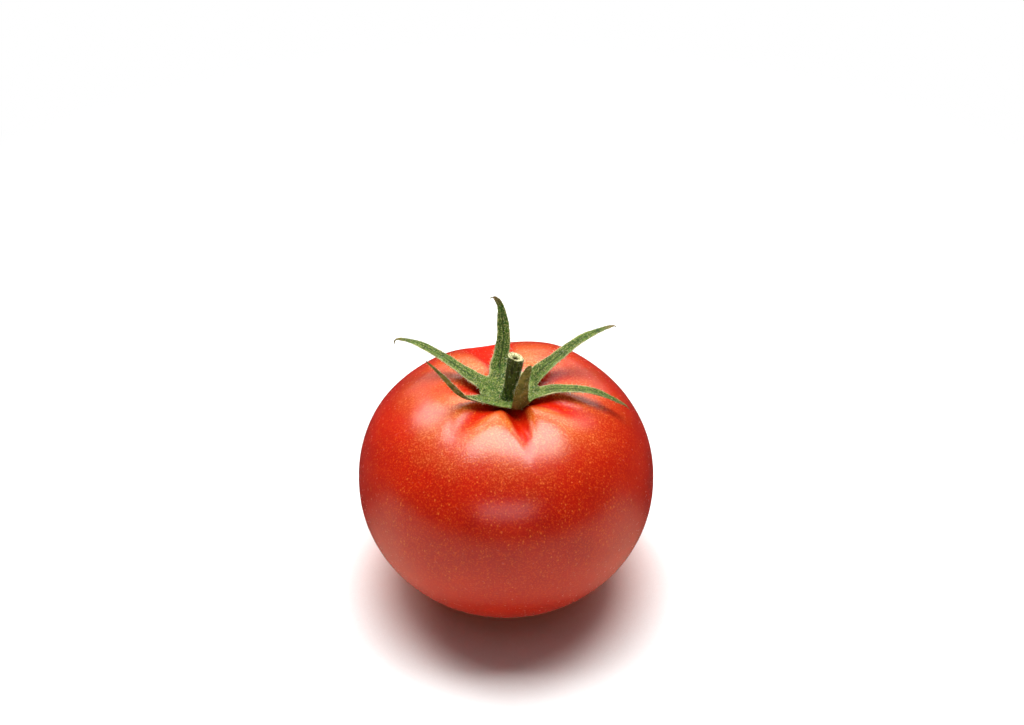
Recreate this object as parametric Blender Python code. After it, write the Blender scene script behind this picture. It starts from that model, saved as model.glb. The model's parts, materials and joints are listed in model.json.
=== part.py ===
"""A ripe round tomato as it is picked: the fruit with its green calyx and the cut stub of its stem.

Blender 4.5, metres, +Z up. The origin is the middle of the small flat spot on which the fruit rests, and +Z
runs up through the stem. Azimuths are in degrees, counted from +X towards +Y.
"""

import math
from typing import NamedTuple

import bmesh
import bpy
from mathutils import Matrix, Vector

MM = 0.001
UP = Vector((0, 0, 1))

# Fruit: a squarish dome over a rounder base, meeting where the fruit is widest.
FRUIT_WIDTH = 70.0 * MM
DOME_HEIGHT = 27.6 * MM  # from the widest level to the top, as if there were no stem hollow
DOME_SQUARENESS = 2.3  # 2 is an ellipse
BASE_DEPTH = 31.2 * MM  # from the widest level to the bottom, as if there were no rest spot
BASE_SQUARENESS = 2.07
REST_SPOT_WIDTH = 16.0 * MM
HOLLOW_DEPTH = 4.75 * MM  # the stem hollow, below the unbroken dome
HOLLOW_WIDTH = 14.4 * MM
BROW_WIDTH = 56.0 * MM  # past this the shoulder falls away too steeply for a sepal to follow
STEM_END_SHIFT = 0.7 * MM  # how far the hollow, and all that is green, lies to +X of the rest spot
SHIFT_BEGINS = 0.45  # share of the dome's height from which the skin leans over to that side
SHIFT_ENDS = 0.8  # and at which it has the whole shift
FOLD_SHARPNESS = 3  # more gathers a fold closer round the distance at which it is strongest
FRUIT_SEGMENTS = 72
DOME_RINGS = 24
DOME_RING_CROWDING = 1.35  # 1 spaces them evenly; more crowds them into the hollow
BASE_RINGS = 12

# Calyx base: the small disc in which the sepals meet under the stem.
SKIN_GAP = 0.3 * MM  # between the fruit's skin and the green parts, and between one green part and the next
CALYX_BASE_WIDTH = 9.4 * MM
CALYX_BASE_THICKNESS = 1.0 * MM
CALYX_BASE_SEGMENTS = 32
CALYX_BASE_RINGS = 5

# Stem: cut off a little above the calyx, leaning, with a hollow pith.
STEM_LENGTH = 11.7 * MM
STEM_LEAN = 8.0  # degrees from upright, towards +X
STEM_FOOT_WIDTH = 4.0 * MM
STEM_NECK_WIDTH = 3.4 * MM
STEM_CUT_WIDTH = 3.9 * MM
STEM_CUT_SLANT = 8.0  # degrees, falling towards the lean
NECK_BEGINS = 0.12  # shares of the stem's length: below this it flares out to its foot
NECK_NARROWEST = 0.3
CUT_BEGINS = 0.95  # above this it has the cut's slant
PITH_WIDTH = 1.4 * MM
PITH_DEPTH = 1.6 * MM
STEM_SEGMENTS = 20

# Sepals: narrow green blades, broadest near the calyx base and drawn out to a thin tip.
SEPAL_THICKNESS = 0.9 * MM
SEPAL_TIP_THICKNESS = 0.5 * MM
ROOT_GAP = 0.55 * MM  # between the calyx base's rim and the middle of a sepal's root, which leans over it
SEPAL_CUPPING = 0.14  # how far the blade's sides rise above its middle, as a share of its width
SEPAL_SECTION_POINTS = 10
SEPAL_STATIONS = 26
CURVE_STEPS = 24  # short chords between two stations of a sepal's course
# Blade width along the sepal: share of its length, width.
SEPAL_WIDTHS = (
    (0.0, 3.4 * MM),
    (0.12, 4.2 * MM),
    (0.35, 3.3 * MM),
    (0.62, 2.7 * MM),
    (0.86, 1.5 * MM),
    (1.0, 0.5 * MM),
)


class Fold(NamedTuple):
    """A valley running out over the shoulder from the stem hollow, or a lobe where its height is positive."""

    azimuth: float
    height: float
    half_width: float  # degrees
    strongest_at: float  # distance from the hollow's middle


FOLDS = (
    Fold(azimuth=283, height=-1.5 * MM, half_width=15, strongest_at=9.0 * MM),
    Fold(azimuth=221, height=-1.2 * MM, half_width=15, strongest_at=10.0 * MM),
    Fold(azimuth=164, height=-0.8 * MM, half_width=14, strongest_at=9.5 * MM),
    Fold(azimuth=103, height=-1.9 * MM, half_width=14, strongest_at=16.0 * MM),
    Fold(azimuth=64, height=0.9 * MM, half_width=15, strongest_at=22.0 * MM),
    Fold(azimuth=28, height=-0.9 * MM, half_width=14, strongest_at=11.0 * MM),
    Fold(azimuth=338, height=-1.0 * MM, half_width=13, strongest_at=11.0 * MM),
)


class Sepal(NamedTuple):
    """A blade's course over the fruit, and how broad it is beside the usual widths."""

    breadth: float
    twist: float  # degrees at the tip, growing from none at the root
    root_azimuth: float
    course: tuple  # stations of (mm outwards from the root, mm that it has risen over the skin, azimuth)


SEPALS = {
    "sepal_front": Sepal(
        breadth=1.05,
        twist=0,
        root_azimuth=298,
        course=(
            (0.9, 0.1, 297),
            (1.5, 2.0, 294),
            (2.4, 5.4, 293),
            (3.4, 9.2, 294),
            (4.2, 12.3, 297),
            (4.9, 14.3, 298),
        ),
    ),
    "sepal_right_lower": Sepal(
        breadth=0.9,
        twist=0,
        root_azimuth=354,
        course=(
            (3.7, 0.1, 355),
            (7.2, 0.6, 356),
            (14.2, 2.3, 356),
            (20.9, 3.2, 356),
            (22.8, 3.1, 356),
        ),
    ),
    "sepal_right_upper": Sepal(
        breadth=1.05,
        twist=0,
        root_azimuth=40,
        course=(
            (1.6, 0.1, 38),
            (3.6, 1.0, 36),
            (7.0, 2.4, 35),
            (15.5, 8.2, 34),
            (23.7, 13.3, 34),
            (25.3, 12.1, 34),
        ),
    ),
    "sepal_back": Sepal(
        breadth=1.2,
        twist=0,
        root_azimuth=110,
        course=(
            (3.5, 0.4, 105),
            (7.5, 4.6, 96),
            (11.0, 10.5, 96),
            (12.2, 13.2, 98),
            (12.8, 14.7, 102),
            (12.4, 14.3, 105),
        ),
    ),
    "sepal_left_upper": Sepal(
        breadth=0.9,
        twist=0,
        root_azimuth=157,
        course=(
            (1.8, 0.1, 156),
            (5.1, 0.5, 155),
            (12.5, 4.1, 152),
            (19.2, 9.0, 152),
            (24.4, 11.2, 152),
            (25.4, 9.0, 152),
        ),
    ),
    "sepal_left_lower": Sepal(
        breadth=0.95,
        twist=-25,
        root_azimuth=212,
        course=(
            (2.3, 0.1, 211),
            (4.3, 0.4, 209),
            (7.2, 2.0, 204),
            (11.1, 9.3, 200),
            (14.9, 16.5, 200),
        ),
    ),
}

# Materials: sRGB colour, roughness.
SKIN_COLOUR = ("#C8220E", 0.3)
SEPAL_COLOUR = ("#5E8A45", 0.75)
STEM_COLOUR = ("#3F5C22", 0.7)


def base_drop(reach):
    """How far below the widest level the round base lies at this distance from the axis."""
    share = min(reach / (FRUIT_WIDTH / 2), 1.0)
    return BASE_DEPTH * (1 - share**BASE_SQUARENESS) ** (1 / BASE_SQUARENESS)


WIDEST_HEIGHT = base_drop(REST_SPOT_WIDTH / 2)


def fold_height(reach, azimuth):
    """How far the folds lift the skin: each dies out towards the axis, outwards and to both sides."""
    height = 0.0
    for fold in FOLDS:
        aside = (azimuth - fold.azimuth + 180) % 360 - 180
        outwards = reach / fold.strongest_at
        along = (outwards * math.exp(1 - outwards)) ** FOLD_SHARPNESS
        height += fold.height * along * math.exp(-((aside / fold.half_width) ** 2))
    return height


def dome_height(reach):
    """Height of the upper skin over the rest plane, with the stem hollow and without the folds."""
    share = min(reach / (FRUIT_WIDTH / 2), 1.0)
    dome = DOME_HEIGHT * (1 - share**DOME_SQUARENESS) ** (1 / DOME_SQUARENESS)
    hollow = HOLLOW_DEPTH * math.exp(-((reach / (HOLLOW_WIDTH / 2)) ** 2))
    return WIDEST_HEIGHT + dome - hollow


def calyx_top(reach):
    """Height of the calyx base's upper side, which is level where the stem stands on it."""
    return dome_height(max(reach, STEM_FOOT_WIDTH / 2)) + SKIN_GAP + CALYX_BASE_THICKNESS


def sepal_point(outwards, rise, azimuth):
    """A point on a sepal's course: the root lies beside the calyx base, just clear of the skin."""
    reach = CALYX_BASE_WIDTH / 2 + ROOT_GAP + outwards
    lift = SKIN_GAP + SEPAL_THICKNESS / 2 + rise
    turn = math.radians(azimuth)
    height = dome_height(min(reach, BROW_WIDTH / 2)) + lift
    return Vector((reach * math.cos(turn), reach * math.sin(turn), height))


def eased(share, stations):
    """A value that runs smoothly through (share, value) stations."""
    for (start, low), (end, high) in zip(stations, stations[1:]):
        if share <= end:
            t = (share - start) / (end - start)
            return low + (high - low) * t * t * (3 - 2 * t)
    return stations[-1][1]


def smooth_course(points, count):
    """Evenly spaced points on the Catmull-Rom curve through the given ones."""
    padded = [2 * points[0] - points[1], *points, 2 * points[-1] - points[-2]]
    fine = [points[0]]
    for a, b, c, d in zip(padded, padded[1:], padded[2:], padded[3:]):
        for step in range(1, CURVE_STEPS + 1):
            t = step / CURVE_STEPS
            squared = (2 * a - 5 * b + 4 * c - d) * t**2
            cubed = (3 * b - a - 3 * c + d) * t**3
            fine.append(0.5 * (2 * b + (c - a) * t + squared + cubed))
    travelled = [0.0]
    for a, b in zip(fine, fine[1:]):
        travelled.append(travelled[-1] + (b - a).length)
    course, at = [], 0
    for index in range(count):
        wanted = travelled[-1] * index / (count - 1)
        while at < len(fine) - 2 and travelled[at + 1] < wanted:
            at += 1
        gap = travelled[at + 1] - travelled[at]
        course.append(fine[at].lerp(fine[at + 1], (wanted - travelled[at]) / gap))
    return course


def clear_scene():
    for obj in list(bpy.data.objects):
        bpy.data.objects.remove(obj)


def plain_material(name, colour, roughness):
    material = bpy.data.materials.new(name)
    material.use_nodes = True
    shader = material.node_tree.nodes["Principled BSDF"]
    channels = [int(colour[i : i + 2], 16) / 255 for i in (1, 3, 5)]
    linear = [c / 12.92 if c <= 0.04045 else ((c + 0.055) / 1.055) ** 2.4 for c in channels]
    shader.inputs["Base Color"].default_value = (*linear, 1.0)
    shader.inputs["Roughness"].default_value = roughness
    shader.inputs["Metallic"].default_value = 0.0
    return material


def add_object(name, shape, material):
    """Puts a bmesh into the scene as one smooth-shaded object."""
    bmesh.ops.recalc_face_normals(shape, faces=shape.faces)
    mesh = bpy.data.meshes.new(name)
    shape.to_mesh(mesh)
    shape.free()
    mesh.shade_smooth()
    mesh.set_sharp_from_angle(angle=math.radians(40))
    mesh.materials.append(material)
    obj = bpy.data.objects.new(name, mesh)
    bpy.context.scene.collection.objects.link(obj)
    return obj


def shift_to_stem_end(shape):
    """Moves a piece modelled round the Z axis to the middle of the stem hollow."""
    bmesh.ops.translate(shape, verts=shape.verts, vec=(STEM_END_SHIFT, 0, 0))


def turned(shape, profile, segments):
    """Spins a profile of (reach, height) points once round the Z axis."""
    verts = [shape.verts.new((reach, 0, height)) for reach, height in profile]
    edges = [shape.edges.new(pair) for pair in zip(verts, verts[1:])]
    bmesh.ops.spin(
        shape, geom=verts + edges, cent=(0, 0, 0), axis=UP, angle=math.tau, steps=segments, use_merge=True
    )
    bmesh.ops.remove_doubles(shape, verts=shape.verts, dist=0.001 * MM)


def lofted(shape, rings):
    """Draws a closed outline out through rings of as many points each, and closes both ends."""
    outline = bmesh.ops.create_circle(shape, segments=len(rings[0]), radius=1.0)["verts"]
    edges = list({edge for vert in outline for edge in vert.link_edges})
    bmesh.ops.contextual_create(shape, geom=outline)
    for vert, place in zip(outline, rings[0]):
        vert.co = place
    for ring in rings[1:]:
        drawn = bmesh.ops.extrude_edge_only(shape, edges=edges)["geom"]
        edges = [item for item in drawn if isinstance(item, bmesh.types.BMEdge)]
        for vert, place in zip([item for item in drawn if isinstance(item, bmesh.types.BMVert)], ring):
            vert.co = place
    bmesh.ops.contextual_create(shape, geom=edges)


def build_fruit(material):
    shape = bmesh.new()
    half = FRUIT_WIDTH / 2
    rest = math.asin(REST_SPOT_WIDTH / FRUIT_WIDTH)
    base = [rest + (math.pi / 2 - rest) * ring / BASE_RINGS for ring in range(BASE_RINGS)]
    dome = [math.pi / 2 * (1 - ring / DOME_RINGS) ** DOME_RING_CROWDING for ring in range(DOME_RINGS + 1)]
    profile = [(half * math.sin(a), WIDEST_HEIGHT - base_drop(half * math.sin(a))) for a in base]
    profile += [(half * math.sin(a), dome_height(half * math.sin(a))) for a in dome]
    turned(shape, profile, FRUIT_SEGMENTS)
    for vert in shape.verts:
        share = (vert.co.z - WIDEST_HEIGHT) / DOME_HEIGHT
        if share > 0:
            reach = math.hypot(vert.co.x, vert.co.y)
            vert.co.z += fold_height(reach, math.degrees(math.atan2(vert.co.y, vert.co.x)))
            vert.co.x += eased(share, ((0, 0), (SHIFT_BEGINS, 0), (SHIFT_ENDS, STEM_END_SHIFT)))
    bmesh.ops.contextual_create(shape, geom=[edge for edge in shape.edges if edge.is_boundary])
    return add_object("fruit", shape, material)


def build_calyx_base(material):
    shape = bmesh.new()
    reaches = [CALYX_BASE_WIDTH / 2 * ring / CALYX_BASE_RINGS for ring in range(CALYX_BASE_RINGS + 1)]
    lower = [(reach, dome_height(reach) + SKIN_GAP) for reach in reaches]
    upper = [(reach, calyx_top(reach)) for reach in reversed(reaches)]
    turned(shape, lower + upper, CALYX_BASE_SEGMENTS)
    shift_to_stem_end(shape)
    return add_object("calyx_base", shape, material)


def build_stem(material):
    """A stub standing on the calyx base and leaning off it, with the pith sunk into its slanting cut."""
    foot = Vector((0, 0, calyx_top(0) + SKIN_GAP))
    reach = Vector((math.sin(math.radians(STEM_LEAN)), 0, math.cos(math.radians(STEM_LEAN)))) * STEM_LENGTH
    cut_tilt = STEM_LEAN + STEM_CUT_SLANT
    # Share of the length, width, degrees from level.
    sections = (
        (0.0, STEM_FOOT_WIDTH, 0.0),
        (NECK_BEGINS, (2 * STEM_NECK_WIDTH + STEM_FOOT_WIDTH) / 3, STEM_LEAN),
        (NECK_NARROWEST, STEM_NECK_WIDTH, STEM_LEAN),
        ((NECK_NARROWEST + 1) / 2, (STEM_NECK_WIDTH + STEM_CUT_WIDTH) / 2, STEM_LEAN),
        (CUT_BEGINS, STEM_CUT_WIDTH, cut_tilt),
        (1.0, STEM_CUT_WIDTH, cut_tilt),
        (1.0, PITH_WIDTH, cut_tilt),
        (1.0 - PITH_DEPTH / STEM_LENGTH, PITH_WIDTH, cut_tilt),
    )
    rings = []
    for share, width, tilt in sections:
        turns = [math.tau * index / STEM_SEGMENTS for index in range(STEM_SEGMENTS)]
        level = [Vector((width / 2 * math.cos(turn), width / 2 * math.sin(turn), 0)) for turn in turns]
        tilted = Matrix.Rotation(math.radians(tilt), 3, "Y")
        rings.append([foot + reach * share + tilted @ point for point in level])
    shape = bmesh.new()
    lofted(shape, rings)
    shift_to_stem_end(shape)
    return add_object("stem", shape, material)


def blade_ring(place, along, azimuth, width, thickness, twist):
    """The outline of a sepal across its course: an oval whose two sides are bent up."""
    turn = math.radians(azimuth)
    aside = Vector((-math.sin(turn), math.cos(turn), 0))
    aside = (aside - along * aside.dot(along)).normalized()
    aside = Matrix.Rotation(math.radians(twist), 3, along) @ aside
    upwards = along.cross(aside)
    ring = []
    for index in range(SEPAL_SECTION_POINTS):
        angle = math.tau * index / SEPAL_SECTION_POINTS
        across, through = math.cos(angle), math.sin(angle)
        bent = SEPAL_CUPPING * width * across**2
        ring.append(place + aside * (width / 2 * across) + upwards * (thickness / 2 * through + bent))
    return ring


def build_sepal(name, sepal, material):
    stations = [(0, 0, sepal.root_azimuth), *sepal.course]
    points = [sepal_point(outwards * MM, rise * MM, azimuth) for outwards, rise, azimuth in stations]
    course = smooth_course(points, SEPAL_STATIONS)
    last = SEPAL_STATIONS - 1
    rings = []
    for index, place in enumerate(course):
        share = index / last
        along = (course[min(index + 1, last)] - course[max(index - 1, 0)]).normalized()
        width = sepal.breadth * eased(share, SEPAL_WIDTHS)
        thickness = SEPAL_THICKNESS + (SEPAL_TIP_THICKNESS - SEPAL_THICKNESS) * share
        azimuth = math.degrees(math.atan2(place.y, place.x))
        rings.append(blade_ring(place, along, azimuth, width, thickness, sepal.twist * share))
    shape = bmesh.new()
    lofted(shape, rings)
    shift_to_stem_end(shape)
    return add_object(name, shape, material)


def main():
    clear_scene()
    build_fruit(plain_material("tomato_skin", *SKIN_COLOUR))
    green = plain_material("sepal_green", *SEPAL_COLOUR)
    build_calyx_base(green)
    build_stem(plain_material("stem_green", *STEM_COLOUR))
    for name, sepal in SEPALS.items():
        build_sepal(name, sepal, green)


main()
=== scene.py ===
import json
import math
import random
from typing import NamedTuple

import bmesh
import bpy
from mathutils import Matrix, Vector, noise
from mathutils.kdtree import KDTree

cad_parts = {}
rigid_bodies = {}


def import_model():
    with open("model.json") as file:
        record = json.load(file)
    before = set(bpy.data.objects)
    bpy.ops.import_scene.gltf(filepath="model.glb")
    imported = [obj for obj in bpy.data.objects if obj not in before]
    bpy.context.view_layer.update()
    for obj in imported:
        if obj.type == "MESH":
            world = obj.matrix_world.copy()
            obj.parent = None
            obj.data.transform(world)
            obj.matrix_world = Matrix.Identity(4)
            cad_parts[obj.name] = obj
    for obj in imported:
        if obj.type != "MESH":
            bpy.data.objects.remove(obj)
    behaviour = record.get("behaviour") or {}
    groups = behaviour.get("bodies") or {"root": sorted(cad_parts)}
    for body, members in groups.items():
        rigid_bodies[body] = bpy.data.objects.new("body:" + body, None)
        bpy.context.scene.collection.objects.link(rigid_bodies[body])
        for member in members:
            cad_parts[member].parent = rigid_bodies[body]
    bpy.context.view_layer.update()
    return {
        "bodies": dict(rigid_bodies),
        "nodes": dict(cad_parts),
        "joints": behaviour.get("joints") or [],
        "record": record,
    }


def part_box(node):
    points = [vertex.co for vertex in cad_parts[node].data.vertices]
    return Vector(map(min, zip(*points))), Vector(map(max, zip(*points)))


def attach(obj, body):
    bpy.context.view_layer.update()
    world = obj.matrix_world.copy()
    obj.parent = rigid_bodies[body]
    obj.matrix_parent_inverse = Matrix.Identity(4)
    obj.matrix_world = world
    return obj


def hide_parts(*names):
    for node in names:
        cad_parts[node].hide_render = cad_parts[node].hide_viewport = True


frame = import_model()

MM = 0.001
UP = Vector((0, 0, 1))

# The fruit. Its width and the places of the green parts come from the frame.
FRUIT_LOW, FRUIT_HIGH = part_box("fruit")
FRUIT_HALF = (FRUIT_HIGH.x - FRUIT_LOW.x) / 2
CALYX_LOW, CALYX_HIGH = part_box("calyx_base")
CALYX_RADIUS = (CALYX_HIGH.x - CALYX_LOW.x) / 2
STEM_END = Vector(((CALYX_LOW.x + CALYX_HIGH.x) / 2, 0, 0))  # middle of the stem hollow
DOME_HEIGHT = 27.6 * MM  # from the widest level to the top, as if there were no stem hollow
DOME_SQUARENESS = 2.3
BASE_DEPTH = 31.2 * MM  # from the widest level to the bottom, as if there were no rest spot
BASE_SQUARENESS = 2.07
REST_SPOT_WIDTH = 16.0 * MM
REST_ROUNDING = 0.35 * MM
HOLLOW_DEPTH = 4.75 * MM
HOLLOW_WIDTH = 14.4 * MM
BROW_WIDTH = 56.0 * MM
SKIN_GAP = 0.3 * MM
SKIN_SEGMENTS = 320
SKIN_RINGS = 190
SKIN_UNEVENNESS = 0.22 * MM  # how far the skin dips, in waves about as wide as the next value
SKIN_WAVE = 17 * MM
UNEVEN_PART = ((0, 0), (0.3, 0), (0.7, 1))  # share of the widest level's height, share of the dips
SHIFT_BEGINS = 0.45  # share of the dome's height from which the skin leans over to the stem end's side
SHIFT_ENDS = 0.8
SCAR_WIDTH = 3.2 * MM  # the corky spot at the blossom end
SCAR_DEPTH = 0.35 * MM

# The calyx: sepals, and the web in which they meet.
SEPAL_THICKNESS = 0.62 * MM
ROOT_REACH = 1.4 * MM  # the blades start well inside the web, so that they grow out of it
ROOT_RISE = 0.9  # share of the web's thickness at which the blades start
ROOT_GAP = 0.55 * MM  # from the calyx base's rim to the first station of a course
BLADE_THINNING = 0.45  # share of its thickness that a blade loses by its tip
SIDE_ROUNDING = 0.8  # 1 would give a blade an elliptic outline, and less gives it blunter sides
GROOVE = 0.34  # how far a blade's sides rise beside its middle, as a share of half its width
GROOVE_ROUNDING = 0.03  # more makes the groove's bottom rounder
GROOVE_LEVEL = 0.17  # lets the groove down, so that its bottom lies on the course
EDGE_CURL = 0.25  # how much of that rise the outer edges lose again
RIB_HEIGHT = 0.22 * MM  # the midrib under a blade
RIB_WIDTH = 0.2  # share of half the blade's width
TWISTING = ((0, 0), (0.2, 0), (0.55, 1))  # share of the blade's length, share of its twist
WEB_RADIUS = 6.9 * MM
WEB_SHIFT = 1.2 * MM  # the web reaches further back than forwards
WEB_THICKNESS = 0.9 * MM
WEB_RIM_THICKNESS = 0.4 * MM
WEB_FLAT_WIDTH = 4 * MM  # under the stem its top is level
WEB_RINGS = 10
WEB_SEGMENTS = 72
LEAF_MESH = 0.14 * MM  # edge length
LEAF_SMOOTHINGS = 9  # rounds of smoothing, which fillet the blades into the web
MERGE_DISTANCE = 0.001 * MM
BLADE_PART = ((0, 0), (0.6, 0), (1.15, 1))  # share of the web's radius, 0 on the web and 1 on a blade
LEAF_GRAIN = 0.42 * MM  # width of the small pimples on the leafy parts
LEAF_GRAIN_HEIGHT = 0.07 * MM
FINER_PIMPLES = 2.1  # how many of the half as high finer ones go into the width of a coarse one
NARROWEST_HALF = 0.2 * MM  # half a blade's width at its tip, where a share of it is still told
SEPAL_STATIONS = 64
SEPAL_POINTS = 20
CURVE_STEPS = 24  # short chords between two stations of a sepal's course

# Hairs: short and pale, most of them along the sepals' edges and on the stem.
HAIR_LENGTH = 0.9 * MM
HAIR_WIDTH = 0.07 * MM
EDGE_HAIRS = 1100
FACE_HAIRS = 900
STEM_HAIRS = 300
HAIR_SEED = 3
HAIR_STRAY = 0.45  # how far a hair points aside, as a share of how far it points out
SHORTEST_HAIR = 0.35  # share of the longest
HAIR_SUNK = 0.05 * MM
FACE_HAIR_LIFT = 0.2
STEM_HAIR_LIFT = 0.3
EDGE_BEGINS = 0.82  # share of half a blade's width


class Fold(NamedTuple):
    """A valley running out over the shoulder from the stem hollow, or a lobe if its height is positive."""

    azimuth: float
    height: float
    half_width: float  # degrees, at the distance where the fold is strongest
    strongest_at: float  # distance from the hollow's middle
    gathering: float = 3  # more gathers the fold closer round that distance
    narrowing: float = 0  # 0 keeps its angle on the way out, 1 its width, and more draws it to a point


NARROWING_BEGINS = 0.5  # share of the distance where the fold is strongest

FOLDS = (
    Fold(azimuth=284, height=-2.3 * MM, half_width=12, strongest_at=8.8 * MM, gathering=5, narrowing=1.2),
    Fold(azimuth=228, height=-1.0 * MM, half_width=15, strongest_at=8.8 * MM, narrowing=0.5),
    Fold(azimuth=172, height=-0.7 * MM, half_width=15, strongest_at=9.0 * MM),
    Fold(azimuth=103, height=-1.9 * MM, half_width=14, strongest_at=16.0 * MM),
    Fold(azimuth=64, height=0.9 * MM, half_width=15, strongest_at=22.0 * MM),
    Fold(azimuth=28, height=-0.7 * MM, half_width=14, strongest_at=11.0 * MM),
    Fold(azimuth=338, height=-1.0 * MM, half_width=14, strongest_at=10.5 * MM, narrowing=0.3),
    Fold(azimuth=254, height=0.6 * MM, half_width=15, strongest_at=10.0 * MM),
    Fold(azimuth=310, height=0.5 * MM, half_width=15, strongest_at=10.5 * MM),
)
DEEP_VALLEY = 1.3 * MM  # a valley this deep takes the folds' full deep red, partly painted shade

# Blade width along a sepal: share of its length, width.
TAPERING = (
    (0.0, 4.4 * MM),
    (0.14, 5.4 * MM),
    (0.26, 4.5 * MM),
    (0.42, 3.4 * MM),
    (0.66, 2.8 * MM),
    (0.88, 1.5 * MM),
    (1.0, 0.3 * MM),
)
STRAP_LIKE = (
    (0.0, 4.0 * MM),
    (0.2, 5.2 * MM),
    (0.45, 3.9 * MM),
    (0.8, 3.0 * MM),
    (0.95, 2.0 * MM),
    (1.0, 1.0 * MM),
)


class Sepal(NamedTuple):
    node: str
    breadth: float
    root_azimuth: float
    course: tuple  # stations of (mm outwards from the root, mm risen over the skin, azimuth)
    widths: tuple = TAPERING
    twist: float = 0  # degrees by which the blade turns on its way out


SEPALS = (
    Sepal(
        node="sepal_front",
        breadth=1.0,
        widths=STRAP_LIKE,
        root_azimuth=298,
        course=(
            (0.9, 0.1, 297),
            (1.5, 2.0, 294),
            (2.4, 5.4, 293),
            (3.4, 9.2, 294),
            (4.2, 12.3, 297),
            (4.9, 14.3, 298),
        ),
    ),
    Sepal(
        node="sepal_right_lower",
        breadth=0.9,
        root_azimuth=354,
        course=(
            (3.7, 0.1, 355),
            (7.2, 0.6, 356),
            (14.2, 2.3, 356),
            (20.9, 3.2, 356),
            (22.8, 3.1, 356),
        ),
    ),
    Sepal(
        node="sepal_right_upper",
        breadth=1.05,
        root_azimuth=40,
        course=(
            (1.6, 0.1, 38),
            (3.6, 1.0, 36),
            (7.0, 2.4, 35),
            (15.5, 8.2, 34),
            (23.7, 13.3, 34),
            (25.3, 12.1, 34),
        ),
    ),
    Sepal(
        node="sepal_back",
        breadth=1.15,
        root_azimuth=110,
        course=(
            (3.5, 0.4, 105),
            (7.5, 4.6, 96),
            (11.0, 10.5, 96),
            (12.2, 13.2, 98),
            (12.8, 14.7, 102),
            (12.4, 14.3, 105),
        ),
    ),
    Sepal(
        node="sepal_left_upper",
        breadth=0.95,
        root_azimuth=157,
        course=(
            (1.8, 0.1, 156),
            (5.1, 0.5, 155),
            (12.5, 4.1, 152),
            (19.2, 9.0, 152),
            (24.4, 11.2, 152),
            (25.4, 9.0, 152),
        ),
    ),
    Sepal(
        node="sepal_left_lower",
        breadth=0.9,
        twist=36,
        root_azimuth=212,
        course=(
            (2.3, 0.3, 211),
            (4.3, 0.8, 209),
            (7.2, 2.5, 204),
            (11.1, 9.3, 200),
            (14.9, 16.5, 200),
        ),
    ),
)

# The stem stub. Each station gives its share of the height, its width in mm, how far it tilts with the
# stem, and how much of it is cut face.
STEM_STATIONS = (
    (0.0, 4.9, 0.0, 0.0),
    (0.03, 4.3, 0.2, 0.0),
    (0.08, 3.75, 0.7, 0.0),
    (0.16, 3.45, 1.0, 0.0),
    (0.3, 3.35, 1.0, 0.0),
    (0.45, 3.42, 1.0, 0.0),
    (0.6, 3.5, 1.0, 0.0),
    (0.75, 3.6, 1.0, 0.0),
    (0.88, 3.7, 1.0, 0.0),
    (0.955, 3.84, 1.0, 0.0),
    (0.985, 3.88, 1.0, 0.1),
    (1.0, 3.7, 1.0, 0.8),
    (0.998, 3.2, 1.0, 1.0),
    (0.982, 2.6, 1.0, 1.0),
    (0.978, 2.0, 1.0, 0.9),
    (0.96, 1.5, 1.0, 0.6),
    (0.91, 1.2, 1.0, 0.0),
    (0.86, 0.7, 1.0, 0.0),
)
PITH_WIDTH = 1.4  # mm; narrower stations than this lie in the pith
STEM_SEGMENTS = 72
STEM_RIDGES = 7
STEM_RIDGE_HEIGHT = 0.09 * MM
RIDGE_SHIFT = 2.0  # strays the ridges from an even spacing, in radians of their wave
RIDGED_WIDTH = 3  # mm; narrower stations have lower ridges
STEM_UNEVENNESS = 0.12 * MM
STEM_SUNK = 0.5 * MM  # how far the foot goes down into the web
CUT_HALF_WIDTH = 1.95 * MM  # from the cut's middle to the stem's outermost point
CUT_MIDDLE_DROP = 0.45 * MM  # the cut's middle lies lower than its raised edge
CUT_RAGGEDNESS = 0.34 * MM
CUT_SLANT = 11  # degrees
SLANT_BEGINS = 0.8  # share of the stem's height from which its rings turn towards the cut's slant
NARROWEST_PITH = 0.1 * MM


# ---- shapes ----------------------------------------------------------------------------------------------


def base_drop(reach):
    share = min(reach / FRUIT_HALF, 1.0)
    return BASE_DEPTH * (1 - share**BASE_SQUARENESS) ** (1 / BASE_SQUARENESS)


WIDEST_HEIGHT = base_drop(REST_SPOT_WIDTH / 2)


def dome_height(reach):
    """Height of the upper skin over the rest plane, with the stem hollow and without the folds."""
    share = min(reach / FRUIT_HALF, 1.0)
    dome = DOME_HEIGHT * (1 - share**DOME_SQUARENESS) ** (1 / DOME_SQUARENESS)
    return WIDEST_HEIGHT + dome - HOLLOW_DEPTH * math.exp(-((reach / (HOLLOW_WIDTH / 2)) ** 2))


def fold_height(reach, azimuth):
    """How far the folds lift the skin: each dies out towards the axis, outwards and to both sides."""
    height = 0.0
    for fold in FOLDS:
        outwards = reach / fold.strongest_at
        aside = (azimuth - fold.azimuth + 180) % 360 - 180
        half_width = fold.half_width / max(outwards, NARROWING_BEGINS) ** fold.narrowing
        along = (outwards * math.exp(1 - outwards)) ** fold.gathering
        height += fold.height * along * math.exp(-((aside / half_width) ** 2))
    return height


def eased(share, stations):
    """A value that runs smoothly through (share, value) stations."""
    for (start, low), (end, high) in zip(stations, stations[1:]):
        if share <= end:
            t = (share - start) / (end - start)
            return low + (high - low) * t * t * (3 - 2 * t)
    return stations[-1][1]


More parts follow.
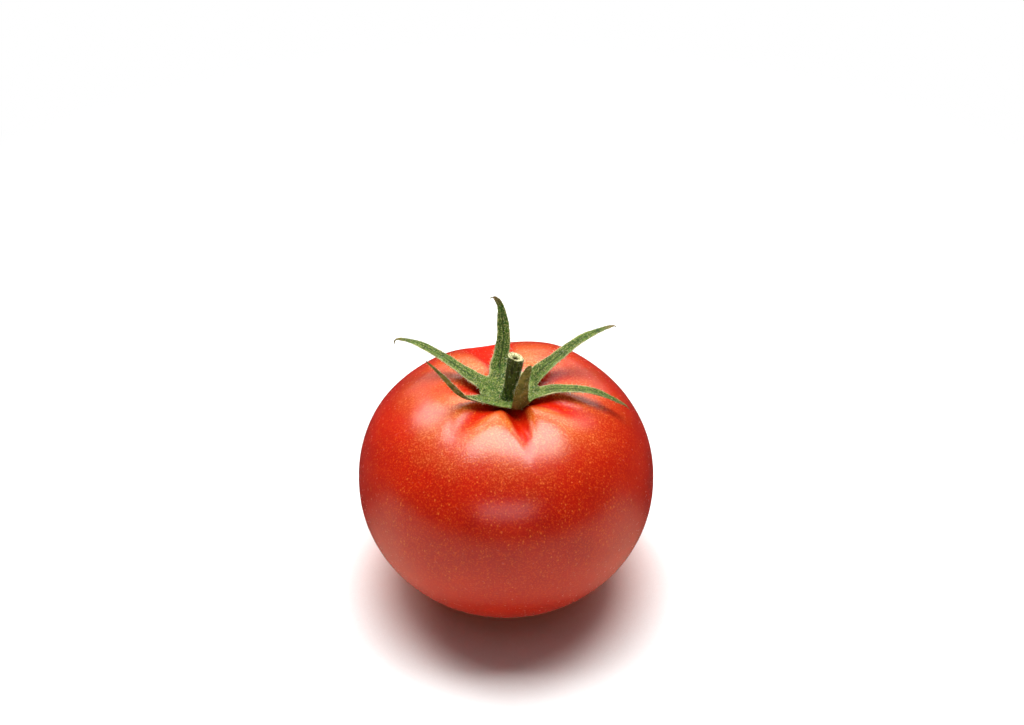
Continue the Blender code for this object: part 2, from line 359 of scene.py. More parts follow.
def smooth_course(points, count):
    """Evenly spaced points on the Catmull-Rom curve through the given ones."""
    padded = [2 * points[0] - points[1], *points, 2 * points[-1] - points[-2]]
    fine = [points[0]]
    for a, b, c, d in zip(padded, padded[1:], padded[2:], padded[3:]):
        for step in range(1, CURVE_STEPS + 1):
            t = step / CURVE_STEPS
            squared = (2 * a - 5 * b + 4 * c - d) * t**2
            cubed = (3 * b - a - 3 * c + d) * t**3
            fine.append(0.5 * (2 * b + (c - a) * t + squared + cubed))
    travelled = [0.0]
    for a, b in zip(fine, fine[1:]):
        travelled.append(travelled[-1] + (b - a).length)
    course, at = [], 0
    for index in range(count):
        wanted = travelled[-1] * index / (count - 1)
        while at < len(fine) - 2 and travelled[at + 1] < wanted:
            at += 1
        gap = travelled[at + 1] - travelled[at]
        course.append(fine[at].lerp(fine[at + 1], (wanted - travelled[at]) / gap))
    return course


def turn_of(direction):
    return math.degrees(math.atan2(direction.y, direction.x))


def add_piece(name, shape, material):
    mesh = bpy.data.meshes.new(name)
    shape.to_mesh(mesh)
    shape.free()
    mesh.shade_smooth()
    mesh.materials.append(material)
    piece = bpy.data.objects.new(name, mesh)
    bpy.context.scene.collection.objects.link(piece)
    return piece


def lofted(shape, rings):
    """Draws a closed outline out through rings of as many points each, and closes both ends.

    Returns the verts, ring by ring.
    """
    outline = bmesh.ops.create_circle(shape, segments=len(rings[0]), radius=1.0)["verts"]
    edges = list({edge for vert in outline for edge in vert.link_edges})
    bmesh.ops.contextual_create(shape, geom=outline)
    made = [outline]
    for _ in rings[1:]:
        drawn = bmesh.ops.extrude_edge_only(shape, edges=edges)["geom"]
        edges = [item for item in drawn if isinstance(item, bmesh.types.BMEdge)]
        made.append([item for item in drawn if isinstance(item, bmesh.types.BMVert)])
    bmesh.ops.contextual_create(shape, geom=edges)
    for verts, ring in zip(made, rings):
        for vert, place in zip(verts, ring):
            vert.co = place
    return made


def build_skin(material):
    """The whole fruit: a fine ball pushed to the fruit's outline, folds and hollow."""
    shape = bmesh.new()
    valley = shape.verts.layers.float.new("valley")
    bmesh.ops.create_uvsphere(shape, u_segments=SKIN_SEGMENTS, v_segments=SKIN_RINGS, radius=1.0)
    middle = Vector((0, 0, WIDEST_HEIGHT))
    for vert in shape.verts:
        out = Vector((vert.co.x, vert.co.y, 0))
        reach = min(out.length, 1.0) * FRUIT_HALF
        shift = 0.0
        if vert.co.z > 0:
            height = dome_height(reach)
            share = (height - WIDEST_HEIGHT) / DOME_HEIGHT
            fold = fold_height(reach, turn_of(out))
            height += fold
            # The fold depth: the material turns the skin deep red by it, partly as painted shade, and dulls
            # the wax.
            vert[valley] = min(max(-fold / DEEP_VALLEY, 0.0), 1.0)
            shift = eased(share, ((0, 0), (SHIFT_BEGINS, 0), (SHIFT_ENDS, STEM_END.x)))
        else:
            height = WIDEST_HEIGHT - base_drop(reach)
            height = 0.5 * (height + math.hypot(height, REST_ROUNDING)) - REST_ROUNDING / 2
            height = max(height, 0.0) + SCAR_DEPTH * math.exp(-((2 * reach / SCAR_WIDTH) ** 2))
        place = out.normalized() * reach if out.length > 0 else out
        place = Vector((place.x + shift, place.y, height))
        wave = (1 + noise.noise(place / SKIN_WAVE)) / 2
        held = eased(height / WIDEST_HEIGHT, UNEVEN_PART)
        vert.co = place - (place - middle).normalized() * (SKIN_UNEVENNESS * wave * held)
    bmesh.ops.recalc_face_normals(shape, faces=shape.faces)
    return add_piece("ripe_skin", shape, material)


def sepal_point(outwards, rise, azimuth):
    reach = CALYX_RADIUS + ROOT_GAP + outwards * MM
    height = dome_height(min(reach, BROW_WIDTH / 2)) + SKIN_GAP + SEPAL_THICKNESS / 2 + rise * MM
    turn = math.radians(azimuth)
    return STEM_END + Vector((reach * math.cos(turn), reach * math.sin(turn), height))


def sepal_course(sepal):
    turn = math.radians(sepal.root_azimuth)
    inmost = Vector((ROOT_REACH * math.cos(turn), ROOT_REACH * math.sin(turn), 0))
    inmost.z = dome_height(ROOT_REACH) + ROOT_RISE * WEB_THICKNESS
    stations = [(0, 0, sepal.root_azimuth), *sepal.course]
    places = [sepal_point(*station) for station in stations]
    return smooth_course([STEM_END + inmost, *places], SEPAL_STATIONS)


class Frame(NamedTuple):
    """A station of a blade: its place, three directions, half its width, and its share of the length."""

    place: Vector
    along: Vector
    across: Vector
    upwards: Vector
    half: float
    share: float


def blade_frames(sepal):
    course = sepal_course(sepal)
    last = SEPAL_STATIONS - 1
    frames = []
    for index, place in enumerate(course):
        share = index / last
        along = (course[min(index + 1, last)] - course[max(index - 1, 0)]).normalized()
        turn = math.radians(turn_of(place - STEM_END))
        across = Vector((-math.sin(turn), math.cos(turn), 0))
        across = (across - along * across.dot(along)).normalized()
        twist = sepal.twist * eased(share, TWISTING)
        across = Matrix.Rotation(math.radians(twist), 3, along) @ across
        half = sepal.breadth * eased(share, sepal.widths) / 2
        frames.append(Frame(place, along, across, along.cross(across), half, share))
    return frames


def blade_ring(frame):
    """A sepal's outline across its course: grooved above, ribbed below and thin at the sides."""
    ring = []
    thickness = SEPAL_THICKNESS * (1 - BLADE_THINNING * frame.share)
    for index in range(SEPAL_POINTS):
        angle = math.tau * index / SEPAL_POINTS
        u, through = math.cos(angle), math.sin(angle)
        groove = math.sqrt(u * u + GROOVE_ROUNDING) - GROOVE_LEVEL
        bent = frame.half * GROOVE * groove * (1 - EDGE_CURL * abs(u))
        rib = -RIB_HEIGHT * math.exp(-((u / RIB_WIDTH) ** 2)) * (1 - frame.share) if through < 0 else 0.0
        body = thickness / 2 * math.copysign(abs(through) ** SIDE_ROUNDING, through)
        ring.append(frame.place + frame.across * (frame.half * u) + frame.upwards * (body + bent + rib))
    return ring


def turned(shape, profile):
    """Spins a profile of (reach, height) points once round the Z axis."""
    verts = [shape.verts.new((reach, 0, height)) for reach, height in profile]
    edges = [shape.edges.new(pair) for pair in zip(verts, verts[1:])]
    bmesh.ops.spin(
        shape,
        geom=verts + edges,
        cent=(0, 0, 0),
        axis=UP,
        angle=math.tau,
        steps=WEB_SEGMENTS,
        use_merge=True,
    )
    bmesh.ops.remove_doubles(shape, verts=shape.verts, dist=MERGE_DISTANCE)


def draw_web(shape):
    """The round web under the stem, thick in the middle and thin at its rim, in the stem hollow."""
    reaches = [WEB_RADIUS * ring / WEB_RINGS for ring in range(WEB_RINGS + 1)]
    profile = [(reach, dome_height(reach) + SKIN_GAP) for reach in reaches]
    for reach in reversed(reaches):
        thickness = WEB_THICKNESS + (WEB_RIM_THICKNESS - WEB_THICKNESS) * (reach / WEB_RADIUS) ** 2
        profile.append((reach, dome_height(max(reach, WEB_FLAT_WIDTH / 2)) + SKIN_GAP + thickness))
    turned(shape, profile)
    bmesh.ops.translate(shape, verts=shape.verts, vec=STEM_END + Vector((0, WEB_SHIFT, 0)))


def as_one_skin(shape):
    """Gives overlapping closed shapes one common skin of small even faces."""
    mesh = bpy.data.meshes.new("overlapping")
    shape.to_mesh(mesh)
    shape.free()
    rough = bpy.data.objects.new("overlapping", mesh)
    bpy.context.scene.collection.objects.link(rough)
    remesh = rough.modifiers.new("one_skin", "REMESH")
    remesh.mode = "VOXEL"
    remesh.voxel_size = LEAF_MESH
    whole = bmesh.new()
    whole.from_object(rough, bpy.context.evaluated_depsgraph_get())
    bpy.data.objects.remove(rough)
    every_axis = {"use_axis_x": True, "use_axis_y": True, "use_axis_z": True}
    for _ in range(LEAF_SMOOTHINGS):
        bmesh.ops.smooth_vert(whole, verts=whole.verts, factor=0.5, **every_axis)
    return whole


def build_calyx(material):
    """Web and sepals as one growth. Each vert knows its place on its blade, for the veins and edges."""
    blades = [blade_frames(sepal) for sepal in SEPALS]
    shape = bmesh.new()
    draw_web(shape)
    for frames in blades:
        lofted(shape, [blade_ring(frame) for frame in frames])
    bmesh.ops.recalc_face_normals(shape, faces=shape.faces)
    whole = as_one_skin(shape)
    stations = [frame for frames in blades for frame in frames]
    nearest = KDTree(len(stations))
    for index, frame in enumerate(stations):
        nearest.insert(frame.place, index)
    nearest.balance()
    across_layer = whole.verts.layers.float.new("across")
    along_layer = whole.verts.layers.float.new("along")
    upper_layer = whole.verts.layers.float.new("upper")
    whole.normal_update()
    moves = []
    for vert in whole.verts:
        frame = stations[nearest.find(vert.co)[1]]
        aside = frame.across.dot(vert.co - frame.place) / max(frame.half, NARROWEST_HALF)
        from_middle = (vert.co - STEM_END).xy.length
        blade = eased(from_middle / WEB_RADIUS, BLADE_PART)
        vert[across_layer] = aside * blade
        vert[along_layer] = frame.share
        vert[upper_layer] = frame.upwards.dot(vert.normal)
        grain = noise.noise(vert.co / LEAF_GRAIN) + 0.5 * noise.noise(vert.co / LEAF_GRAIN * FINER_PIMPLES)
        moves.append(vert.normal * (LEAF_GRAIN_HEIGHT * grain))
    for vert, move in zip(whole.verts, moves):
        vert.co += move
    return add_piece("calyx", whole, material)


def build_stem(material):
    """The stub: ridged lengthwise, flaring into the calyx, with a ragged cut and the pith sunk in it."""
    low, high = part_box("stem")
    foot = Vector((STEM_END.x, 0, low.z - STEM_SUNK))
    top = Vector((high.x - CUT_HALF_WIDTH, 0, high.z - CUT_MIDDLE_DROP))
    reach = top - foot
    lean = math.atan2(reach.x, reach.z)
    rings = []
    for share, width, tilting, cut in STEM_STATIONS:
        ring = []
        slant = math.radians(CUT_SLANT) * max(0.0, share - SLANT_BEGINS) / (1 - SLANT_BEGINS)
        tilt = Matrix.Rotation(lean * tilting + slant, 3, "Y")
        tilt = Matrix.Rotation(-slant, 3, "X") @ tilt
        for index in range(STEM_SEGMENTS):
            turn = math.tau * index / STEM_SEGMENTS
            around = Vector((math.cos(turn), math.sin(turn), 0))
            ridge = math.cos(STEM_RIDGES * turn + RIDGE_SHIFT * math.sin(turn))
            ridge *= STEM_RIDGE_HEIGHT * (1 - cut)
            uneven = noise.noise(around * 1.3 + Vector((0, 0, share * 5))) * STEM_UNEVENNESS
            radius = max(width * MM / 2 + (ridge + uneven) * min(width / RIDGED_WIDTH, 1), NARROWEST_PITH)
            ragged = CUT_RAGGEDNESS * cut * noise.noise(around * width * 1.1 + Vector((7, 0, 0)))
            ring.append(foot + reach * share + tilt @ (around * radius + UP * ragged))
        rings.append(ring)
    shape = bmesh.new()
    cut_layer = shape.verts.layers.float.new("cut")
    pith_layer = shape.verts.layers.float.new("pith")
    for verts, (share, width, tilting, cut) in zip(lofted(shape, rings), STEM_STATIONS):
        for vert in verts:
            vert[cut_layer] = cut
            vert[pith_layer] = 1.0 if width < PITH_WIDTH else 0.0
    bmesh.ops.recalc_face_normals(shape, faces=shape.faces)
    return add_piece("stem_stub", shape, material)


def grow_hairs(shape, chance, verts, count, lift):
    """Sets thin three-sided cones on verts picked by chance, pointing outwards and a little aside.

    The lift turns them upwards.
    """
    for vert in chance.choices(verts, k=count):
        stray = Vector((chance.gauss(0, 1), chance.gauss(0, 1), chance.gauss(0, 1)))
        direction = (vert.normal + HAIR_STRAY * stray + UP * lift).normalized()
        length = HAIR_LENGTH * chance.uniform(SHORTEST_HAIR, 1.0)
        middle = vert.co + direction * (length / 2 - HAIR_SUNK)
        place = Matrix.Translation(middle) @ direction.to_track_quat("Z", "Y").to_matrix().to_4x4()
        bmesh.ops.create_cone(
            shape,
            cap_ends=True,
            segments=3,
            radius1=HAIR_WIDTH / 2,
            radius2=0,
            depth=length,
            matrix=place,
        )


def build_hairs(calyx, stem, material):
    chance = random.Random(HAIR_SEED)
    shape = bmesh.new()
    leafy = bmesh.new()
    leafy.from_mesh(calyx.data)
    across = leafy.verts.layers.float["across"]
    edge = [vert for vert in leafy.verts if abs(vert[across]) > EDGE_BEGINS]
    face = [vert for vert in leafy.verts if abs(vert[across]) <= EDGE_BEGINS]
    grow_hairs(shape, chance, edge, EDGE_HAIRS, 0.0)
    grow_hairs(shape, chance, face, FACE_HAIRS, FACE_HAIR_LIFT)
    leafy.free()
    stub = bmesh.new()
    stub.from_mesh(stem.data)
    cut = stub.verts.layers.float["cut"]
    pith = stub.verts.layers.float["pith"]
    side = [vert for vert in stub.verts if vert[cut] == 0 and vert[pith] == 0]
    grow_hairs(shape, chance, side, STEM_HAIRS, STEM_HAIR_LIFT)
    stub.free()
    return add_piece("fine_hairs", shape, material)


# ---- materials -------------------------------------------------------------------------------------------


# The patterns of the skin.
RIPENING_PATCH = 8 * MM
FLUSH_BEGINS = 15 * MM  # distance from the calyx
FLUSH_ENDS = 38 * MM
FLUSH_WANDERS = 16 * MM  # how far its edge wanders in and out
SKIN_MOTTLE = 0.8 * MM
SKIN_GRAIN = 0.42 * MM
SKIN_RELIEF = 0.05 * MM
FLECK_CROWDS = 6 * MM  # width of the stretches with more flecks and with fewer
FLECKS = ((0.5, 0.4, 0.42, "#E8641E"), (0.8, 0.3, 0.55, "#F48238"))  # mm apart, size, strength, colour

# The patterns of the green parts.
LEAF_BLOTCH = 1.6 * MM
LEAF_FELT = 0.32 * MM
LEAF_RELIEF = 0.08 * MM
VEINS = ((0.0, 0.16, 0.85), (0.45, 0.1, 0.5))  # place and width as shares of half the blade, strength
STEM_STRAND = 0.5 * MM
STEM_FELT = 0.4 * MM
STEM_RELIEF = 0.1 * MM
HAIR_TUFT = 2 * MM

# How the tabletop looks further out, its painted reflection in the gloss, and its painted shadow close under
# the object.
FADE_BEGINS = 70 * MM  # distance from the middle
FADE_ENDS = 240 * MM
# where the painted dark reflection behind the object begins and ends
DARK_REFLECTION_BEGINS = -25 * MM  # along Y
DARK_REFLECTION_ENDS = 20 * MM
# how far out the painted shadow under the object reaches
PAINTED_SHADOW_REACH = 36 * MM


def linear(code):
    """An sRGB hex colour as linear RGBA."""
    channels = [int(code[i : i + 2], 16) / 255 for i in (1, 3, 5)]
    return (*[c / 12.92 if c <= 0.04045 else ((c + 0.055) / 1.055) ** 2.4 for c in channels], 1.0)


def add_node(tree, kind, inputs=(), **settings):
    """Adds a node with its settings. inputs maps sockets to values, nodes, sockets or (node, output)."""
    made = tree.nodes.new("ShaderNode" + kind)
    for name, value in settings.items():
        setattr(made, name, value)
    for socket, value in dict(inputs).items():
        if isinstance(value, bpy.types.Node):
            value = next(output for output in value.outputs if output.enabled)
        elif isinstance(value, tuple) and isinstance(value[0], bpy.types.Node):
            value = value[0].outputs[value[1]]
        if isinstance(value, bpy.types.NodeSocket):
            tree.links.new(value, made.inputs[socket])
        else:
            made.inputs[socket].default_value = value
    return made


def new_material(name):
    material = bpy.data.materials.new(name)
    material.use_nodes = True
    return material, material.node_tree, material.node_tree.nodes["Principled BSDF"]


def set_shader(tree, shader, **values):
    for name, value in values.items():
        socket = shader.inputs[name.replace("_", " ")]
        if isinstance(value, bpy.types.Node):
            value = next(output for output in value.outputs if output.enabled)
            tree.links.new(value, socket)
        else:
            socket.default_value = value


def ripe_tomato_skin():
    """Ripe tomato skin: a thin waxy cuticle grown over red flesh, satin rather than wet.

    Close up it is grained with golden flecks. Round the stem, where it ripened last, it flushes orange.
    Down in the folds it turns deep red instead, partly as painted shade, and close under the calyx the
    flush is cut back as painted shade, so that the shade there reads red.
    """
    material, tree, shader = new_material("ripe_tomato_skin")
    place = add_node(tree, "TexCoord").outputs["Object"]
    valley = add_node(tree, "Attribute", attribute_name="valley").outputs["Fac"]
    height = add_node(tree, "SeparateXYZ", {0: place}).outputs["Z"]
    calyx_middle = (STEM_END.x, 0.0, CALYX_LOW.z)
    from_stem = add_node(tree, "VectorMath", {0: place, 1: calyx_middle}, operation="DISTANCE")
    from_stem = from_stem.outputs["Value"]

    # Ripeness in patches a few millimetres across, redder towards the base.
    patches = add_node(tree, "TexNoise", {"Vector": place, "Scale": 1 / RIPENING_PATCH, "Detail": 3.0})
    ripeness = add_node(tree, "MapRange", {0: patches, 1: 0.35, 2: 0.65, 3: 0.0, 4: 1.0})
    red = add_node(tree, "Mix", {0: ripeness, 6: linear("#A91003"), 7: linear("#B81A05")}, data_type="RGBA")
    lowness = add_node(tree, "MapRange", {0: height, 1: 45 * MM, 2: 12 * MM, 3: 0.0, 4: 0.6})
    red = add_node(tree, "Mix", {0: lowness, 6: red, 7: linear("#C01D08")}, data_type="RGBA")

    # The orange flush, which fades out unevenly over the shoulder.
    wander = add_node(tree, "Math", {0: patches, 1: FLUSH_WANDERS}, operation="MULTIPLY")
    uneven = add_node(tree, "Math", {0: from_stem, 1: wander}, operation="ADD")
    flush = add_node(
        tree,
        "MapRange",
        {0: uneven, 1: FLUSH_BEGINS, 2: FLUSH_ENDS, 3: 0.9, 4: 0.0},
        interpolation_type="SMOOTHSTEP",
    )
    # Down in the folds the flush gives way, partly to the folds' own red and partly as painted shade.
    flush_outside_fold_shade = add_node(tree, "MapRange", {0: valley, 1: 0.05, 2: 0.55, 3: 1.0, 4: 0.0})
    flush = add_node(tree, "Math", {0: flush, 1: flush_outside_fold_shade}, operation="MULTIPLY")
    # Painted shade: close under the calyx the flush is cut back, so that the shade there reads red rather
    # than brown.
    painted_shade_under_calyx = add_node(tree, "MapRange", {0: from_stem, 1: 7 * MM, 2: 11.5 * MM, 3: 0.25, 4: 1.0})
    flush = add_node(tree, "Math", {0: flush, 1: painted_shade_under_calyx}, operation="MULTIPLY")
    flushed = add_node(tree, "Mix", {0: flush, 6: red, 7: linear("#D75E12")}, data_type="RGBA")
    # The folds take a deep red: partly their own colour, partly painted shade.
    fold_red_and_shade = add_node(tree, "MapRange", {0: valley, 1: 0.2, 2: 0.8, 3: 0.0, 4: 0.85})
    flushed = add_node(tree, "Mix", {0: fold_red_and_shade, 6: flushed, 7: linear("#CC1804")}, data_type="RGBA")

    # Golden grain under the wax, which hides it at a glancing angle: mottling, very many faint dots,
    # and fewer bright flecks. The finest real grain is too small to show, so it is drawn this coarse.
    glancing = add_node(tree, "LayerWeight", {"Blend": 0.5}).outputs["Facing"]
    seen = add_node(tree, "MapRange", {0: glancing, 1: 0.3, 2: 0.8, 3: 1.0, 4: 0.1})
    gold = add_node(tree, "Mix", {0: flush, 6: linear("#D23E0E"), 7: linear("#FFB266")}, data_type="RGBA")
    mottle = add_node(
        tree, "TexNoise", {"Vector": place, "Scale": 1 / SKIN_MOTTLE, "Detail": 3.0, "Roughness": 0.7}
    )
    mottled = add_node(tree, "MapRange", {0: mottle, 1: 0.42, 2: 0.72, 3: 0.0, 4: 0.22})
    flesh = add_node(tree, "Mix", {0: mottled, 6: flushed, 7: gold}, data_type="RGBA")
    grain = add_node(tree, "TexNoise", {"Vector": place, "Scale": 1 / SKIN_GRAIN, "Detail": 1.0})
    grained = add_node(tree, "MapRange", {0: grain, 1: 0.5, 2: 0.66, 3: 0.0, 4: 0.66})
    grained = add_node(tree, "Math", {0: grained, 1: seen}, operation="MULTIPLY")
    flesh = add_node(tree, "Mix", {0: grained, 6: flesh, 7: gold}, data_type="RGBA")
    stretched = add_node(tree, "Mapping", {"Vector": place, "Scale": (1.0, 1.0, 0.7)})
    thickly = add_node(tree, "TexNoise", {"Vector": place, "Scale": 1 / FLECK_CROWDS, "Detail": 1.0})
    sparser_below = add_node(tree, "MapRange", {0: height, 1: 34 * MM, 2: 14 * MM, 3: 0.0, 4: 0.3})
    for spacing, largest, strength, colour in FLECKS:
        cells = add_node(tree, "TexVoronoi", {"Vector": stretched, "Scale": 1 / (spacing * MM)})
        chance = add_node(tree, "SeparateColor", {0: (cells, "Color")})
        likely = add_node(tree, "Math", {0: (chance, "Red"), 1: thickly}, operation="ADD")
        likely = add_node(tree, "Math", {0: likely, 1: sparser_below}, operation="SUBTRACT")
        size = add_node(tree, "MapRange", {0: likely, 1: 0.75, 2: 1.5, 3: 0.0, 4: largest})
        inside = add_node(tree, "Math", {0: size, 1: (cells, "Distance")}, operation="SUBTRACT")
        fleck = add_node(
            tree,
            "MapRange",
            {0: inside, 1: -0.08, 2: 0.2, 3: 0.0, 4: strength},
            interpolation_type="SMOOTHSTEP",
        )
        fleck = add_node(tree, "Math", {0: fleck, 1: seen}, operation="MULTIPLY")
        flesh = add_node(tree, "Mix", {0: fleck, 6: flesh, 7: linear(colour)}, data_type="RGBA")

    # The blossom end's corky scar.
    from_base = add_node(tree, "VectorMath", {0: place}, operation="LENGTH").outputs["Value"]
    frayed = add_node(tree, "Math", {0: mottle, 1: SCAR_WIDTH / 2}, operation="MULTIPLY")
    frayed = add_node(tree, "Math", {0: from_base, 1: frayed}, operation="ADD")
    scar = add_node(
        tree, "MapRange", {0: frayed, 1: SCAR_WIDTH / 2, 2: 0.75 * SCAR_WIDTH, 3: 1.0, 4: 0.0}
    )
    colour = add_node(tree, "Mix", {0: scar, 6: flesh, 7: linear("#7A5334")}, data_type="RGBA")

    relief = add_node(tree, "MapRange", {0: glancing, 1: 0.2, 2: 0.6, 3: 0.85, 4: 0.05})
    bump = add_node(tree, "Bump", {"Strength": relief, "Distance": SKIN_RELIEF, "Height": grain})
    satin = add_node(tree, "MapRange", {0: mottle, 1: 0.3, 2: 0.7, 3: 0.22, 4: 0.28})
    roughness = add_node(tree, "Mix", {0: scar, 2: satin, 3: 0.8})
    # The wax is rubbed to a sheen on the shoulders and stays dull down in the folds.
    wax = add_node(tree, "MapRange", {0: valley, 1: 0.1, 2: 0.7, 3: 0.2, 4: 0.0})
    sheen = add_node(tree, "MapRange", {0: valley, 1: 0.1, 2: 0.7, 3: 0.5, 4: 0.15})
    set_shader(
        tree,
        shader,
        Base_Color=colour,
        Roughness=roughness,
        Normal=bump,
        IOR=1.43,
        Specular_IOR_Level=sheen,
        Subsurface_Weight=0.35,
        Subsurface_Radius=(1.0, 0.12, 0.04),
        Subsurface_Scale=3.5 * MM,
        Coat_Weight=wax,
        Coat_Roughness=0.17,
        Coat_IOR=1.4,
    )
    return material


def hairy_sepal():
    """Tomato sepal: a matt leaf grown with short hairs, so that it looks dusted with pale grains.

    The midrib and side veins are dark lines, the edges and tips have dried pale and brown, and the
    underside is olive.
    """
    material, tree, shader = new_material("hairy_sepal_leaf")
    place = add_node(tree, "TexCoord").outputs["Object"]
    across = add_node(tree, "Attribute", attribute_name="across").outputs["Fac"]
    along = add_node(tree, "Attribute", attribute_name="along").outputs["Fac"]
    upper = add_node(tree, "Attribute", attribute_name="upper").outputs["Fac"]

    blotches = add_node(tree, "TexNoise", {"Vector": place, "Scale": 1 / LEAF_BLOTCH, "Detail": 3.0})
    shade = add_node(tree, "MapRange", {0: blotches, 1: 0.35, 2: 0.65, 3: 0.0, 4: 1.0})
    green = add_node(tree, "Mix", {0: shade, 6: linear("#1F3C0B"), 7: linear("#46661C")}, data_type="RGBA")

    # The felt of hairs, seen as pale grains. They are drawn coarser than real ones, so that they show.
    grains = add_node(
        tree, "TexNoise", {"Vector": place, "Scale": 1 / LEAF_FELT, "Detail": 2.0, "Roughness": 0.7}
    )
    felt = add_node(tree, "MapRange", {0: grains, 1: 0.5, 2: 0.63, 3: 0.0, 4: 0.82})
    green = add_node(tree, "Mix", {0: felt, 6: green, 7: linear("#A9A962")}, data_type="RGBA")

    # Veins: the midrib, and one beside it on each side.
    wobble = add_node(tree, "MapRange", {0: blotches, 1: 0.3, 2: 0.7, 3: -0.08, 4: 0.08})
    bent = add_node(tree, "Math", {0: across, 1: wobble}, operation="ADD")
    aside = add_node(tree, "Math", {0: bent}, operation="ABSOLUTE")
    on_blade = add_node(tree, "MapRange", {0: along, 1: 0.16, 2: 0.3, 3: 0.0, 4: 1.0})
    for middle, width, strength in VEINS:
        off = add_node(tree, "Math", {0: aside, 1: middle}, operation="SUBTRACT")
        off = add_node(tree, "Math", {0: off}, operation="ABSOLUTE")
        vein = add_node(tree, "MapRange", {0: off, 1: 0.3 * width, 2: width, 3: strength, 4: 0.0})
        vein = add_node(tree, "Math", {0: vein, 1: on_blade}, operation="MULTIPLY")
        green = add_node(tree, "Mix", {0: vein, 6: green, 7: linear("#22340D")}, data_type="RGBA")

    # Edges, tips and underside.
    edge = add_node(tree, "MapRange", {0: aside, 1: 0.74, 2: 0.95, 3: 0.0, 4: 0.8})
    green = add_node(tree, "Mix", {0: edge, 6: green, 7: linear("#C8BC88")}, data_type="RGBA")
    withered = add_node(tree, "MapRange", {0: along, 1: 0.84, 2: 1.0, 3: 0.0, 4: 0.85})
    green = add_node(tree, "Mix", {0: withered, 6: green, 7: linear("#8A6848")}, data_type="RGBA")
    streaks = add_node(tree, "Mix", {0: shade, 6: linear("#4E5A20"), 7: linear("#86823F")}, data_type="RGBA")
    below = add_node(tree, "MapRange", {0: upper, 1: 0.15, 2: -0.25, 3: 0.0, 4: 1.0})
    colour = add_node(tree, "Mix", {0: below, 6: green, 7: streaks}, data_type="RGBA")

    bump = add_node(tree, "Bump", {"Strength": 0.7, "Distance": LEAF_RELIEF, "Height": grains})
    roughness = add_node(tree, "MapRange", {0: felt, 1: 0.0, 2: 0.75, 3: 0.62, 4: 0.85})
    set_shader(
        tree,
        shader,
        Base_Color=colour,
        Roughness=roughness,
        Normal=bump,
        IOR=1.4,
        Specular_IOR_Level=0.25,
        Subsurface_Weight=0.1,
        Subsurface_Radius=(0.4, 0.6, 0.15),
        Subsurface_Scale=0.6 * MM,
    )
    return material


def cut_stem():
    """Tomato stem: a ridged green stalk, cut through.

    Its side is dark and felted like the sepals, the cut is pale and fibrous, and the pith is brown.
    """
    material, tree, shader = new_material("cut_green_stem")
    place = add_node(tree, "TexCoord").outputs["Object"]
    cut = add_node(tree, "Attribute", attribute_name="cut").outputs["Fac"]
    pith = add_node(tree, "Attribute", attribute_name="pith").outputs["Fac"]
    lengthwise = add_node(tree, "Mapping", {"Vector": place, "Scale": (1.0, 1.0, 0.18)})
    strands = add_node(tree, "TexNoise", {"Vector": lengthwise, "Scale": 1 / STEM_STRAND, "Detail": 3.0})
    strand = add_node(tree, "MapRange", {0: strands, 1: 0.38, 2: 0.64, 3: 0.0, 4: 1.0})
    green = add_node(tree, "Mix", {0: strand, 6: linear("#223408"), 7: linear("#4C641C")}, data_type="RGBA")
    grains = add_node(
        tree, "TexNoise", {"Vector": place, "Scale": 1 / STEM_FELT, "Detail": 2.0, "Roughness": 0.7}
    )
    felt = add_node(tree, "MapRange", {0: grains, 1: 0.55, 2: 0.75, 3: 0.0, 4: 0.5})
    green = add_node(tree, "Mix", {0: felt, 6: green, 7: linear("#8A964E")}, data_type="RGBA")
    fibres = add_node(tree, "MapRange", {0: grains, 1: 0.4, 2: 0.58, 3: 0.0, 4: 1.0})
    face = add_node(tree, "Mix", {0: fibres, 6: linear("#7E7A44"), 7: linear("#DED8A6")}, data_type="RGBA")
    colour = add_node(tree, "Mix", {0: cut, 6: green, 7: face}, data_type="RGBA")
    colour = add_node(tree, "Mix", {0: pith, 6: colour, 7: linear("#4A3520")}, data_type="RGBA")
    bump = add_node(tree, "Bump", {"Strength": 0.6, "Distance": STEM_RELIEF, "Height": strands})
    roughness = add_node(tree, "MapRange", {0: cut, 1: 0.0, 2: 1.0, 3: 0.7, 4: 0.5})
    set_shader(tree, shader, Base_Color=colour, Roughness=roughness, Normal=bump, IOR=1.4)
    return material


def plant_hair():
    """Plant hair: a clear thin-walled cell, which lets the light through and so reads as a pale wisp."""
    material, tree, shader = new_material("clear_plant_hair")
    place = add_node(tree, "TexCoord").outputs["Object"]
    tufts = add_node(tree, "TexNoise", {"Vector": place, "Scale": 1 / HAIR_TUFT, "Detail": 1.0})
    colour = add_node(tree, "Mix", {0: tufts, 6: linear("#B9C394"), 7: linear("#E6DFC4")}, data_type="RGBA")
    set_shader(
        tree,
        shader,
        Base_Color=colour,
        Roughness=0.5,
        Subsurface_Weight=0.3,
        Subsurface_Scale=0.2 * MM,
    )
    return material


